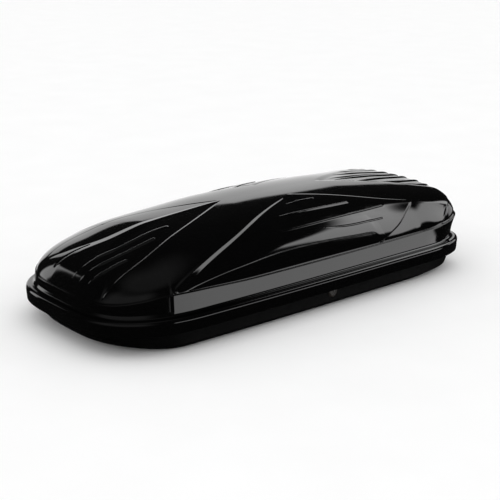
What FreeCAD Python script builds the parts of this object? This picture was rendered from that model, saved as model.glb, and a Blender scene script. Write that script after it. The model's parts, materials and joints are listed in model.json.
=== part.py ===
import FreeCAD, Part
import math
import os
import Sketcher

# Roof cargo box: shallow base tray, domed lid hinged on the -X side, two
# folding parallelogram stays, central locking on the +X side.
# Frame: +Y towards the tail, -Y towards the nose, +Z up, +X left, origin at the
# centre of the flat underside of the base. Millimetres throughout.

os.makedirs("parts", exist_ok=True)
doc = FreeCAD.newDocument("roof_cargo_box")
V3 = FreeCAD.Vector

# ---------------------------------------------------------------- dimensions
DIMS = [
    # plan outline of the lid flange; each rounded end follows
    # (1 - u ** power) ** (1 / root)
    ("box_length", 1950.0), ("box_width", 910.0), ("taper", 0.05),
    ("nose_length", 385.0), ("nose_power", 2.15), ("nose_root", 3.83),
    ("tail_length", 342.0), ("tail_power", 2.4), ("tail_root", 5.8),
    # lid levels and wall
    ("skirt_low", 81.0), ("skirt_top", 140.0), ("lid_top", 414.0),
    ("shell_thick", 3.2), ("ledge", 33.0), ("tail_flush", 24.0),
    # base tray, drawn in from the flange outline
    ("rim_inset", 26.0), ("rim_top", 124.0), ("floor_thick", 4.0),
    ("bottom_inset", 65.0), ("bottom_front", 52.0), ("bottom_rear", 33.0),
    ("hip_z", 25.0), ("hip_inset", 29.0), ("hip_front", 30.0), ("hip_rear", 6.0),
    ("seal_height", 10.0),
    # hinge line
    ("hinge_x", -437.0), ("hinge_z", 92.0), ("hinge_pitch", 420.0),
    ("knuckle_radius", 4.5), ("hinge_pin_radius", 2.0), ("pin_gap", 0.06),
    ("leaf_thick", 2.2), ("leaf_length", 80.0),
    # stays: base pivot, run and rise of each arm
    ("stay_x", -200.0), ("stay_z", 45.0), ("stay_run", 240.0), ("stay_rise", 60.0),
    ("stay_front_y", -812.0), ("stay_rear_y", 850.0), ("link_thick", 5.0),
    ("link_width", 18.0), ("stay_pin_radius", 4.0), ("stay_slack", 0.08),
    # lock
    ("lock_x", 427.6), ("lock_y", 77.0), ("lock_z", 66.0), ("lock_radius", 23.5),
    ("plug_radius", 12.0), ("cam_radius", 18.0), ("cam_pin_radius", 3.0),
    ("cam_pin_gap", 0.9), ("rod_x", 392.0), ("rod_thick", 4.0),
    ("rod_height", 24.0), ("rod_length", 1180.0), ("keeper_pitch", 520.0),
    ("finger_length", 46.0), ("finger_width", 8.0), ("finger_height", 10.0),
    ("keeper_thick", 4.0), ("keeper_gap", 6.0),
    # lid rails
    ("lid_rail_x", 393.0), ("lid_rail_low", -560.0), ("lid_rail_high", 600.0),
    # floor rails, mount plates and straps
    ("rail_x", 205.0), ("rail_length", 1240.0), ("rail_width", 34.0),
    ("rail_height", 9.0), ("rail_thick", 2.0), ("mount_x", 320.0),
    ("mount_y", 350.0), ("slot_pitch", 110.0), ("slot_length", 50.0),
    ("slot_radius", 4.5), ("plate_length", 210.0), ("plate_width", 62.0),
    ("plate_thick", 2.0), ("strap_y", 520.0), ("strap_width", 25.0),
    ("strap_thick", 1.6), ("strap_z", 14.0), ("strap_end", 330.0),
]
sheet = doc.addObject("Spreadsheet::Sheet", "Dims")
for row, (alias, value) in enumerate(DIMS, 1):
    sheet.set(f"A{row}", alias)
    sheet.set(f"B{row}", repr(value))
    sheet.setAlias(f"B{row}", alias)
doc.recompute()


def dim(alias):
    return float(sheet.get(alias))


# ------------------------------------------------------------------- helpers
# Sizes and places passed to box and cyl are numbers or sheet expressions.
nodes = []          # the pieces to export, one file per label


def node(obj):
    nodes.append(obj)
    return obj


def bind(obj, **values):
    """Bind properties; a double underscore in a key stands for a dot."""
    for key, value in values.items():
        text = value if isinstance(value, str) else repr(float(value))
        obj.setExpression(key.replace("__", "."), text)


def bind_place(obj, x, y, z):
    bind(obj, Placement__Base__x=x, Placement__Base__y=y, Placement__Base__z=z)


def box(name, corner, size):
    """Box from its low corner."""
    obj = doc.addObject("Part::Box", name)
    bind(obj, Length=size[0], Width=size[1], Height=size[2])
    bind_place(obj, *corner)
    return obj


def cyl(name, base, radius, height, axis="z"):
    """Cylinder from its base centre along +X, +Y or +Z."""
    obj = doc.addObject("Part::Cylinder", name)
    turns = {"x": (V3(0, 1, 0), 90), "y": (V3(1, 0, 0), -90)}
    if axis in turns:
        obj.Placement = FreeCAD.Placement(V3(0, 0, 0), FreeCAD.Rotation(*turns[axis]))
    bind(obj, Radius=radius, Height=height)
    bind_place(obj, *base)
    return obj


def cut(name, base, tool):
    obj = doc.addObject("Part::Cut", name)
    obj.Base = base
    obj.Tool = tool
    return obj


def fuse(name, *items):
    obj = doc.addObject("Part::MultiFuse", name)
    obj.Shapes = list(items)
    return obj


def group(name, items):
    obj = doc.addObject("Part::Compound", name)
    obj.Links = items
    return obj


def fixed(name, shape):
    """Piece whose shape is built directly."""
    obj = doc.addObject("Part::Feature", name)
    obj.Shape = shape
    return obj


def headed_pin(label, x, z, radius, head_radius, shaft, *heads):
    """Pin along Y; shaft and heads are (low y, length) pairs."""
    parts = [cyl(label + "_shaft", (x, shaft[0], z), radius, shaft[1], "y")]
    for y, length in heads:
        parts.append(cyl(label + "_head", (x, y, z), head_radius, length, "y"))
    return node(fuse(label, *parts))


def span(start, end):
    """Low end and length of a stretch given in either direction."""
    return min(start, end), abs(end - start)


def station(i, pitch):
    """Expression for i steps of a pitch along Y."""
    return f"({i}) * Dims.{pitch}"


def body_sketch(label, role):
    """New body with a sketch on the origin plane of the given role."""
    body = doc.addObject("PartDesign::Body", label)
    sketch = body.newObject("Sketcher::SketchObject", "sketch_" + label)
    origin_plane = next(f for f in body.Origin.OriginFeatures if f.Role == role)
    sketch.AttachmentSupport = (origin_plane, [""])
    sketch.MapMode = "FlatFace"
    return body, sketch


# ------------------------------------------------------------- plan outlines
HALF_LENGTH = dim("box_length") / 2.0
OUTLINE_STEPS = 36


def half_width(y, low, high, width, nose=dim("nose_length"), nose_power=dim("nose_power"),
               nose_root=dim("nose_root"), tail=dim("tail_length"),
               tail_root=dim("tail_root")):
    """Half width at station y of a plan outline that spans y = low..high."""
    fullness = min(max((y - low) / (0.6 * (high - low)), 0.0), 1.0)
    half = width / 2.0 * (1.0 - dim("taper") * (1.0 - fullness) ** 2)
    from_nose, from_tail = y - low, high - y
    if from_nose < nose:
        u = (nose - from_nose) / nose
        half *= max(0.0, 1.0 - u ** nose_power) ** (1.0 / nose_root)
    if from_tail < tail:
        u = (tail - from_tail) / tail
        half *= max(0.0, 1.0 - u ** dim("tail_power")) ** (1.0 / tail_root)
    return half


def edge_pair(y0, y1, inset):
    """Half widths at two stations of the flange outline drawn in by inset."""
    width = dim("box_width") - 2 * inset
    return [half_width(y, -HALF_LENGTH + inset, HALF_LENGTH - inset, width)
            for y in (y0, y1)]


def contour(z, inset, front, rear, width=None, **shape):
    """Closed spline wire of the plan outline, drawn in by inset at level z;
    front and rear set the ends back further."""
    low, high = -HALF_LENGTH + inset + front, HALF_LENGTH - inset - rear
    if width is None:
        width = dim("box_width") - 2 * inset
    points = []
    for i in range(1, OUTLINE_STEPS):
        # points crowd towards the rounded ends
        angle = math.pi * i / OUTLINE_STEPS
        y = 0.5 * (low + high) - 0.5 * (high - low) * math.cos(angle)
        points.append((half_width(y, low, high, width, **shape), y))
    ring = [V3(0, low, z)] + [V3(x, y, z) for x, y in points]
    ring += [V3(0, high, z)] + [V3(-x, y, z) for x, y in reversed(points)]
    curve = Part.BSplineCurve()
    curve.interpolate(Points=ring, PeriodicFlag=True)
    return Part.Wire([curve.toShape()])


def loft(wires):
    """Ruled solid through the wires, with its volume made positive."""
    solid = Part.makeLoft(wires, True, True)
    if solid.ShapeType != "Solid":
        solid = Part.Solid(Part.Shell(solid.Faces))
    if solid.Volume < 0:
        solid.reverse()
    return solid


def slot_solid(x, y, z0, z1):
    """Upright slot along Y."""
    radius = dim("slot_radius")
    half = dim("slot_length") / 2.0 - radius
    solid = Part.makeBox(2 * radius, 2 * half, z1 - z0, V3(x - radius, y - half, z0))
    for end in (y - half, y + half):
        solid = solid.fuse(Part.makeCylinder(radius, z1 - z0, V3(x, end, z0)))
    return solid.removeSplitter()


def cut_slots(shape, x, y, z0, z1):
    """Cut the pair of slots of the mount at (x, y)."""
    for side in (-1, 1):
        shape = shape.cut(slot_solid(x, y + side * dim("slot_pitch") / 2, z0, z1))
    return shape


# ----------------------------------------------------------------- base tray
# name, x, y of each roof mount
MOUNTS = [(f"{end}_{side}", sx * dim("mount_x"), sy * dim("mount_y"))
          for side, sx in (("left", 1), ("right", -1))
          for end, sy in (("front", -1), ("rear", 1))]
BARREL_WALL = 4.0       # lock barrel wall around the plug
RIM_FRONT = 4.0         # set-back of the rim at the nose


def tray_contour(z, inset, front, rear, fullness=1.0):
    """Tray outline; the ends grow squarer as fullness goes from 0 to 1."""
    return contour(z, inset, front, rear, nose_power=2.1,
                   nose_root=1.94 + fullness * 1.5, nose=225 + 130 * fullness,
                   tail_root=3.4 + 2.2 * fullness)


def tray_sections(inward, bottom, top):
    """Near-flat bottom, bulged hip, upright rim."""
    floor, hip, rim = dim("bottom_inset"), dim("hip_inset"), dim("rim_inset")
    floor_front, floor_rear = dim("bottom_front"), dim("bottom_rear")
    hip_front, hip_rear = dim("hip_front"), dim("hip_rear")
    # z, inset, front and rear set-back, fullness
    rows = [
        (bottom, floor + inward + 2, floor_front, floor_rear, 0.0),
        (bottom + 5, floor + inward - 12, floor_front - 6, floor_rear - 8, 0.15),
        (bottom + 12, 0.45 * floor + 0.55 * hip + inward,
         0.4 * floor_front + 0.6 * hip_front, 0.35 * floor_rear + 0.65 * hip_rear, 0.4),
        (max(dim("hip_z"), bottom + 21), hip + inward, hip_front, hip_rear, 0.6),
        (48.0, 0.4 * hip + 0.6 * (rim + 2) + inward, 0.45 * hip_front, 0.5 * hip_rear, 0.8),
        (80.0, rim + 1 + inward, 6.0, 1.0, 0.95),
        (top, rim + inward, RIM_FRONT, 0.0, 1.0),
    ]
    return [tray_contour(*row) for row in rows]


def base_shell():
    outer = loft(tray_sections(0.0, 0.0, dim("rim_top")))
    inner = loft(tray_sections(dim("shell_thick"), dim("floor_thick"), dim("rim_top") + 6))
    tray = outer.cut(inner)
    for _, x, y in MOUNTS:
        tray = cut_slots(tray, x, y, -5, 12)
    # bore for the lock barrel through the +X wall
    bore = Part.makeCylinder(dim("plug_radius") + BARREL_WALL + 0.1, 60,
                             V3(dim("lock_x") - 30, dim("lock_y"), dim("lock_z")),
                             V3(1, 0, 0))
    node(fixed("base_shell", tray.cut(bore)))


def rim_seal():
    """Ring that stands on the rim of the tray."""
    # share of the height, inset of the outer and of the inner face from the rim
    rows = [(0.0, -1.0, 5.5), (0.6, -1.5, 6.0), (1.0, 1.0, 3.2)]

    def face(column):
        return loft([tray_contour(dim("rim_top") + dim("seal_height") * row[0],
                                  dim("rim_inset") + row[column], RIM_FRONT, 0)
                     for row in rows])

    node(fixed("rim_seal", face(1).cut(face(2))))


base_shell()
rim_seal()

# ----------------------------------------------------------------------- lid
# level fraction, width fraction, nose set-back, tail set-back, nose length, nose root
DOME = [
    (0.25, 0.993, 4, -24, 385, 3.6),
    (0.35, 0.975, 28, -20, 400, 3.0),
    (0.445, 0.95, 62, -13, 430, 2.7),
    (0.54, 0.90, 108, -2, 480, 2.4),
    (0.63, 0.845, 162, 14, 540, 2.2),
    (0.72, 0.765, 240, 80, 600, 2.0),
    (0.815, 0.668, 332, 205, 640, 2.0),
    (0.90, 0.53, 480, 330, 620, 2.0),
    (0.96, 0.37, 660, 470, 500, 2.0),
    (1.00, 0.18, 850, 640, 300, 2.0),
]


def dome_sections(inward):
    """Upright skirt, rounded ledge, near-upright wall, domed roof."""
    low, skirt_top, ledge = dim("skirt_low"), dim("skirt_top"), dim("ledge")
    shoulder = skirt_top - inward
    flush = -dim("tail_flush")
    # the inner surface starts below the skirt so that it cuts it open
    first = contour(low - 1, inward, 0, 0) if inward else contour(low, 2, 0, 0)
    wires = [first,
             contour(low + 3, inward, 0, 0),
             contour(shoulder - 8, inward, 0, 0),
             contour(shoulder - 1.5, inward + 3, 0, 0),
             contour(shoulder + 1.5, ledge - 4 + inward * 0.8, 0, flush),
             contour(shoulder + 8, ledge + inward, 0, flush)]
    wall_width = dim("box_width") - 2 * ledge
    side = inward * 0.9
    for level, share, front, rear, nose, nose_root in DOME:
        z = (skirt_top + level * (dim("lid_top") - skirt_top)
             - inward * (0.35 + 0.65 * level))
        wires.append(contour(z, ledge + side, front, rear, wall_width * share - 2 * side,
                             nose=nose, nose_power=2.0, nose_root=nose_root,
                             tail=dim("tail_length") + 140 * level,
                             tail_root=5.8 - 2.6 * level))
    return wires


lid_outer = loft(dome_sections(0.0))
node(fixed("lid_shell", lid_outer.cut(loft(dome_sections(dim("shell_thick"))))))
# the room under the lid, used to trim what is fixed inside it
lid_room = fixed("lid_room", loft(dome_sections(dim("shell_thick") + 0.4)))

# -------------------------------------------------------------------- hinges
PLACES = ("front", "middle", "rear")
PLATE_LOW = 62          # lower edge of the base leaf plate
WEB = 2.4               # thickness of the webs that carry the knuckles
LEAF_GAP = 0.5          # leaf to shell, and knuckle to knuckle on each side
HINGE_BORE = "Dims.hinge_pin_radius + Dims.pin_gap"


def base_leaf_x(y_mid):
    """Low X face of the base leaf plate, clear of the outside of the rim."""
    half = dim("leaf_length") / 2
    wall = -max(edge_pair(y_mid - half, y_mid + half, dim("rim_inset")))
    return wall - LEAF_GAP - dim("leaf_thick")


def hinge_bore(name, mid):
    return cyl(name, ("Dims.hinge_x", f"{mid} - Dims.leaf_length", "Dims.hinge_z"),
               HINGE_BORE, "Dims.leaf_length * 2", "y")


def base_leaf(place, mid, y_mid):
    """Plate on the outside of the rim, web and two outer knuckles."""
    label = "hinge_base_leaf_" + place
    plate_x = base_leaf_x(y_mid)
    start = f"{mid} - Dims.leaf_length / 2"
    plate = box(label + "_plate", (plate_x, start, PLATE_LOW),
                ("Dims.leaf_thick", "Dims.leaf_length",
                 f"Dims.hinge_z - {PLATE_LOW} - Dims.knuckle_radius + {WEB}"))
    web = box(label + "_web", ("Dims.hinge_x", start, "Dims.hinge_z - Dims.knuckle_radius"),
              (f"{plate_x + dim('leaf_thick')!r} - Dims.hinge_x", "Dims.leaf_length", WEB))
    knuckles = [cyl(label + "_knuckle", ("Dims.hinge_x", y, "Dims.hinge_z"),
                    "Dims.knuckle_radius", f"Dims.leaf_length / 3 - {LEAF_GAP}", "y")
                for y in (start, f"{mid} + Dims.leaf_length / 6 + {LEAF_GAP}")]
    # the middle third is cut away for the lid's knuckle
    gap = box(label + "_gap",
              ("Dims.hinge_x - 8", f"{mid} - Dims.leaf_length / 6 - {LEAF_GAP}",
               "Dims.hinge_z - Dims.knuckle_radius - 1"),
              ("8 + Dims.knuckle_radius + 0.8", f"Dims.leaf_length / 3 + 2 * {LEAF_GAP}", 24))
    tools = fuse(label + "_tools", gap, hinge_bore(label + "_bore", mid))
    node(cut(label, fuse(label + "_body", plate, web, *knuckles), tools))


def lid_leaf(place, mid, y_mid):
    """Plate on the inside of the skirt, web and one centre knuckle."""
    label = "hinge_lid_leaf_" + place
    half = dim("leaf_length") / 2
    plate_x = -min(edge_pair(y_mid - half, y_mid + half, dim("shell_thick"))) + LEAF_GAP
    z = f"Dims.hinge_z + Dims.knuckle_radius - {WEB}"
    start = f"{mid} - Dims.leaf_length / 6 + {LEAF_GAP}"
    length = f"Dims.leaf_length / 3 - 2 * {LEAF_GAP}"
    plate = box(label + "_plate", (plate_x, f"{mid} - Dims.leaf_length / 2 + 2", z),
                ("Dims.leaf_thick - 0.6", "Dims.leaf_length - 4", 32))
    web = box(label + "_web", (plate_x, start, z),
              (f"Dims.hinge_x - ({plate_x!r})", length, WEB))
    knuckle = cyl(label + "_knuckle", ("Dims.hinge_x", start, "Dims.hinge_z"),
                  "Dims.knuckle_radius", length, "y")
    node(cut(label, fuse(label + "_body", plate, web, knuckle),
             hinge_bore(label + "_bore", mid)))


for i, place in zip((-1, 0, 1), PLACES):
    mid = station(i, "hinge_pitch")
    y_mid = i * dim("hinge_pitch")
    base_leaf(place, mid, y_mid)
    lid_leaf(place, mid, y_mid)
    headed_pin("hinge_pin_" + place, "Dims.hinge_x", "Dims.hinge_z",
               "Dims.hinge_pin_radius", "Dims.knuckle_radius - 0.7",
               (f"{mid} - Dims.leaf_length / 2 - 2", "Dims.leaf_length + 4"),
               (f"{mid} - Dims.leaf_length / 2 - 3", 2.5),
               (f"{mid} + Dims.leaf_length / 2 + 0.5", 2.5))

# --------------------------------------------------------------------- stays
# pivots as (x, z)
BASE_PIVOT = (dim("stay_x"), dim("stay_z"))
ELBOW = (BASE_PIVOT[0] + dim("stay_run"), BASE_PIVOT[1] + dim("stay_rise"))
LID_PIVOT = (dim("hinge_x") + dim("stay_run"), dim("hinge_z") + dim("stay_rise"))
LINK = dim("link_thick")
PIN = dim("stay_pin_radius")
HEAD = 2.8              # length of the inner pin heads
BRACKET_WIDTH = 32
BRACKET_THICK = 3
FLOOR = "Dims.floor_thick + 0.05"


def link(label, start, end, y_low, start_bore, end_bore):
    """Flat link with round ends between two pivots in the XZ plane, as a
    padded sketch with two holes."""
    body, sketch = body_sketch(label, "XZ_Plane")
    run, rise = end[0] - start[0], end[1] - start[1]
    length = math.hypot(run, rise)
    radius = dim("link_width") / 2
    c0, c1, up = V3(0, 0, 0), V3(length, 0, 0), V3(0, 0, 1)
    quarter = math.pi / 2
    for item in (
            Part.ArcOfCircle(Part.Circle(c0, up, radius), quarter, 3 * quarter),
            Part.ArcOfCircle(Part.Circle(c1, up, radius), -quarter, quarter),
            Part.LineSegment(V3(0, radius, 0), V3(length, radius, 0)),
            Part.LineSegment(V3(0, -radius, 0), V3(length, -radius, 0)),
            Part.Circle(c0, up, start_bore),
            Part.Circle(c1, up, end_bore)):
        sketch.addGeometry(item, False)
    for rule in (
            ("Tangent", 0, 1, 2, 1), ("Tangent", 0, 2, 3, 1),
            ("Tangent", 1, 2, 2, 2), ("Tangent", 1, 1, 3, 2),
            ("Coincident", 0, 3, -1, 1), ("Coincident", 4, 3, 0, 3),
            ("Coincident", 5, 3, 1, 3), ("Horizontal", 2)):
        sketch.addConstraint(Sketcher.Constraint(*rule))
    end_radius = sketch.addConstraint(Sketcher.Constraint("Radius", 0, radius))
    sketch.setExpression(f"Constraints[{end_radius}]", "Dims.link_width / 2")
    for rule in (("DistanceX", 0, 3, 1, 3, length),
                 ("Radius", 4, start_bore), ("Radius", 5, end_bore)):
        sketch.addConstraint(Sketcher.Constraint(*rule))
    pad = body.newObject("PartDesign::Pad", "pad_" + label)
    pad.Profile = sketch
    bind(pad, Length="Dims.link_thick")
    body.Tip = pad
    doc.recompute()
    # turn the body to the link's slope, with its low Y face at y_low
    slope = FreeCAD.Rotation(V3(0, -1, 0), math.degrees(math.atan2(rise, run)))
    y = y_low - body.Shape.BoundBox.YMin
    body.Placement = FreeCAD.Placement(V3(start[0], y, start[1]), slope)
    node(body)


def pivot_bore(name, pivot, face):
    return cyl(name, (pivot[0], face - 20, pivot[1]), "Dims.stay_pin_radius", 40, "y")


def stay_pin(label, pivot, shaft, *heads):
    headed_pin(label, *pivot, "Dims.stay_pin_radius", "Dims.stay_pin_radius + 3",
               shaft, *heads)


def base_bracket(place, face, out):
    """Foot on the floor and an upright at the base pivot."""
    label = "stay_base_bracket_" + place
    x = BASE_PIVOT[0] - BRACKET_WIDTH / 2
    y, thick = span(face, face + out * BRACKET_THICK)
    upright = box(label + "_upright", (x, y, FLOOR),
                  (BRACKET_WIDTH, thick, "Dims.stay_z + 12 - Dims.floor_thick"))
    y, depth = span(face, face - out * 26)
    foot = box(label + "_foot", (x, y, FLOOR), (BRACKET_WIDTH, depth, BRACKET_THICK))
    node(cut(label, fuse(label + "_body", upright, foot),
             pivot_bore(label + "_bore", BASE_PIVOT, face)))


def lid_bracket(place, face, out):
    """Upright plate outboard of the upper arm, a tongue towards the end wall
    and a rib under it, trimmed to the room under the lid."""
    label = "stay_lid_bracket_" + place
    x, z = LID_PIVOT
    left = x - BRACKET_WIDTH / 2
    y, thick = span(face, face + out * BRACKET_THICK)
    plate = box(label + "_plate", (left, y, z - 14), (BRACKET_WIDTH, thick, 44))
    y, reach = span(face, face + out * abs(HALF_LENGTH - abs(face) - 20))
    tongue = box(label + "_tongue", (left, y, z + 27), (BRACKET_WIDTH, reach, BRACKET_THICK))
    rib = box(label + "_rib", (x - BRACKET_THICK / 2, y, z + 12), (BRACKET_THICK, reach, 17))
    trimmed = doc.addObject("Part::Common", label + "_trimmed")
    trimmed.Base = fuse(label + "_body", plate, tongue, rib)
    trimmed.Tool = lid_room
    node(cut(label, trimmed, pivot_bore(label + "_bore", LID_PIVOT, face)))


def stay(place, y_stay, out):
    """Two arms, two brackets and three pins; out is the sign of Y towards the
    nearer end wall. Layers from the inside: lower arm, upper arm, lid bracket."""
    bore = PIN + dim("pin_gap")
    lower = y_stay - out * 12
    upper = lower + out * (LINK + 1.5)
    base_face = lower + out * (LINK + 1.0)
    lid_face = upper + out * (LINK + 1.0)
    link("stay_lower_arm_" + place, BASE_PIVOT, ELBOW,
         min(lower, lower + out * LINK), bore, PIN)
    link("stay_upper_arm_" + place, ELBOW, LID_PIVOT,
         min(upper, upper + out * LINK), bore, PIN + dim("stay_slack"))
    # elbow pin, fixed in the lower arm
    start = lower - out * 3
    cap = upper + out * (LINK + 0.4)
    stay_pin("stay_elbow_pin_" + place, ELBOW, span(start, start + out * 17),
             span(start, start + out * HEAD), span(cap, cap + out * 2.4))
    base_bracket(place, base_face, out)
    lid_bracket(place, lid_face, out)
    for end, pivot, arm, face in (("base", BASE_PIVOT, lower, base_face),
                                  ("lid", LID_PIVOT, upper, lid_face)):
        start = arm - out * 3.2
        stay_pin(f"stay_{end}_pin_{place}", pivot, span(start, face + out * 5),
                 span(start, start + out * HEAD))


stay("front", dim("stay_front_y"), -1.0)
stay("rear", dim("stay_rear_y"), 1.0)

# ---------------------------------------------------------------------- lock
CAM_ANGLE = 45.0        # the cam arm leans from +Z towards -Y
CAM_THICK = 4.0
CAM_X = "Dims.lock_x - 29"
CAM_DY = -dim("cam_radius") * math.sin(math.radians(CAM_ANGLE))
CAM_DZ = dim("cam_radius") * math.cos(math.radians(CAM_ANGLE))
CAM_PIN_Y = f"Dims.lock_y + ({CAM_DY!r})"
CAM_PIN_Z = f"Dims.lock_z + ({CAM_DZ!r})"
# mid height of the rod, halfway between the pin here and at the top of its swing
ROD_Z = f"Dims.lock_z + {(dim('cam_radius') + CAM_DZ) / 2!r}"
ROD_INNER = "Dims.rod_x - Dims.rod_thick / 2"


def on_lock_axis(offset):
    """Point on the lock axis, offset along X from the lock's origin."""
    return (f"Dims.lock_x + ({offset})", "Dims.lock_y", "Dims.lock_z")


def lock_housing():
    """Escutcheon and barrel revolved about the X axis."""
    body, sketch = body_sketch("lock_housing", "XY_Plane")
    bore = dim("plug_radius") + dim("pin_gap")
    plug, rim = dim("plug_radius"), dim("lock_radius")
    barrel = plug + BARREL_WALL
    # x along the barrel from the wall's outer face, radius
    profile = [(-20.0, bore), (6.0, bore), (6.0, plug + 3.0), (5.0, plug + 7.0),
               (3.0, rim - 1.2), (1.6, rim), (0.9, rim), (0.9, barrel), (-20.0, barrel)]
    count = len(profile)
    for i in range(count):
        ends = profile[i], profile[(i + 1) % count]
        sketch.addGeometry(Part.LineSegment(*[V3(x, y, 0) for x, y in ends]), False)
    for i in range(count):
        sketch.addConstraint(Sketcher.Constraint("Coincident", i, 2, (i + 1) % count, 1))
    turned = body.newObject("PartDesign::Revolution", "turned_lock_housing")
    turned.Profile = sketch
    turned.ReferenceAxis = (sketch, ["H_Axis"])
    turned.Angle = 360.0
    body.Tip = turned
    bind_place(body, "Dims.lock_x", "Dims.lock_y", "Dims.lock_z")
    node(body)


def lock_plug():
    """Plug with a key slot in its +X end."""
    barrel = cyl("plug_barrel", on_lock_axis(-25), "Dims.plug_radius", 30, "x")
    slot = box("plug_slot", ("Dims.lock_x + 1", "Dims.lock_y - 1.2", "Dims.lock_z - 6"),
               (8, 2.4, 12))
    node(cut("lock_plug", barrel, slot))


def lock_ring_nut():
    """Ring nut that holds the housing from inside."""
    disc = cyl("nut_disc", on_lock_axis(-13.5), "Dims.plug_radius + 7.5", 4.5, "x")
    bore = cyl("nut_bore", on_lock_axis(-20), f"Dims.plug_radius + {BARREL_WALL} + 0.05",
               20, "x")
    node(cut("lock_ring_nut", disc, bore))


def lock_cam():
    """Cam arm on the inner side of the plug, and its driving pin."""
    hub = cyl("cam_hub", (CAM_X, "Dims.lock_y", "Dims.lock_z"), 9, CAM_THICK, "x")
    tip = cyl("cam_tip", (CAM_X, CAM_PIN_Y, CAM_PIN_Z), 6, CAM_THICK, "x")
    arm = doc.addObject("Part::Box", "cam_arm")
    arm.Length, arm.Width, arm.Height = CAM_THICK, 12.0, dim("cam_radius")
    turn = FreeCAD.Placement(V3(dim("lock_x") - 29, dim("lock_y"), dim("lock_z")),
                             FreeCAD.Rotation(V3(1, 0, 0), CAM_ANGLE))
    arm.Placement = turn * FreeCAD.Placement(V3(0, -6, 0), FreeCAD.Rotation())
    node(fuse("lock_cam", hub, tip, arm))
    node(cyl("lock_cam_pin", ("Dims.rod_x - 5", CAM_PIN_Y, CAM_PIN_Z),
             "Dims.cam_pin_radius", f"{CAM_X} - Dims.rod_x + 5", "x"))


def locking_rod():
    """Flat bar along Y with an upright slot for the cam pin."""
    bar = box("rod_bar", (ROD_INNER, "-Dims.rod_length / 2", f"{ROD_Z} - Dims.rod_height / 2"),
              ("Dims.rod_thick", "Dims.rod_length", "Dims.rod_height"))
    slot = box("rod_slot",
               ("Dims.rod_x - 10", f"{CAM_PIN_Y} - Dims.cam_pin_radius - Dims.cam_pin_gap",
                f"{CAM_PIN_Z} - Dims.cam_pin_radius - 1.2"),
               (20, "2 * Dims.cam_pin_radius + 2 * Dims.cam_pin_gap",
                f"{dim('cam_radius') - CAM_DZ!r} + 2 * Dims.cam_pin_radius + 2.4"))
    node(cut("locking_rod", bar, slot))


def latch_finger(place, mid):
    """Block on the rod, with its +Y tip chamfered above and below."""
    label = "latch_finger_" + place
    block = box(label + "_block",
                (f"{ROD_INNER} - Dims.finger_width", f"{mid} - Dims.finger_length",
                 f"{ROD_Z} - Dims.finger_height / 2"),
                ("Dims.finger_width", "Dims.finger_length", "Dims.finger_height"))
    doc.recompute()
    tip_y = block.Shape.BoundBox.YMax
    edges = []
    for number, edge in enumerate(block.Shape.Edges, 1):
        bounds = edge.BoundBox
        if bounds.YMin > tip_y - 1e-6 and abs(bounds.ZMax - bounds.ZMin) < 1e-6:
            edges.append((number, 2.5, 2.5))
    finger = doc.addObject("Part::Chamfer", label)
    finger.Base = block
    finger.Edges = edges
    node(finger)


def latch_keeper(place, mid):
    """Hanging plate with a window for the finger, and a top flange that
    reaches to the lid rail."""
    label = "latch_keeper_" + place
    x = f"{ROD_INNER} - Dims.finger_width - 6"
    y = f"{mid} + Dims.keeper_gap"
    top = "Dims.skirt_top + 22"
    plate = box(label + "_plate", (x, y, f"{ROD_Z} - 13"),
                ("Dims.finger_width + 5", "Dims.keeper_thick", f"{top} - ({ROD_Z} - 13)"))
    flange = box(label + "_flange", (x, y, f"{top} - 4"),
                 (f"Dims.lid_rail_x + 9.9 - ({x})", 22, 4))
    window = box(label + "_window",
                 (f"{ROD_INNER} - Dims.finger_width - 1.5", mid, f"{ROD_Z} - 8"),
                 ("Dims.finger_width + 1.6", 20, 16))
    node(cut(label, fuse(label + "_body", plate, flange), window))


def rod_guides():
    """Slotted blocks that carry the rod on the base wall."""
    guides = []
    for n, y in enumerate((-430.0, -170.0, 200.0, 430.0)):
        length = 24
        wall = min(edge_pair(y, y + length, dim("rim_inset"))) - dim("shell_thick") - 3.0
        block = box(f"guide_block{n}",
                    (f"{ROD_INNER} - 4", y, f"{ROD_Z} - Dims.rod_height / 2 - 4"),
                    (f"{wall!r} - ({ROD_INNER} - 4)", length, "Dims.rod_height + 8"))
        channel = box(f"guide_channel{n}",
                      (f"{ROD_INNER} - 0.3", y - 5, f"{ROD_Z} - Dims.rod_height / 2 - 0.3"),
                      ("Dims.rod_thick + 0.6", 40, "Dims.rod_height + 0.6"))
        guides.append(cut(f"guide{n}", block, channel))
    node(group("rod_guides", guides))


lock_housing()
lock_plug()
lock_ring_nut()
lock_cam()
locking_rod()
for i, place in zip((-1, 0, 1), PLACES):
    latch_finger(place, station(i, "keeper_pitch"))
    latch_keeper(place, station(i, "keeper_pitch"))
rod_guides()

# ----------------------------------------------------------------- lid rails
# channels along Y, open towards the middle of the box
for side, x, hollow_x in (
        ("lock_side", "Dims.lid_rail_x", "Dims.lid_rail_x - 2"),
        ("hinge_side", "-Dims.lid_rail_x - 12", "-Dims.lid_rail_x - 10")):
    label = "lid_rail_" + side
    length = "Dims.lid_rail_high - Dims.lid_rail_low"
    bar = box(label + "_bar", (x, "Dims.lid_rail_low", "Dims.skirt_top + 8"),
              (12, length, 26))
    hollow = box(label + "_hollow",
                 (hollow_x, "Dims.lid_rail_low - 5", "Dims.skirt_top + 10"),
                 (12, length + " + 10", 22))
    node(cut(label, bar, hollow))

# ------------------------------------------------------------ floor fittings
RAIL_FOOT = 6           # width of each foot of a floor rail


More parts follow.
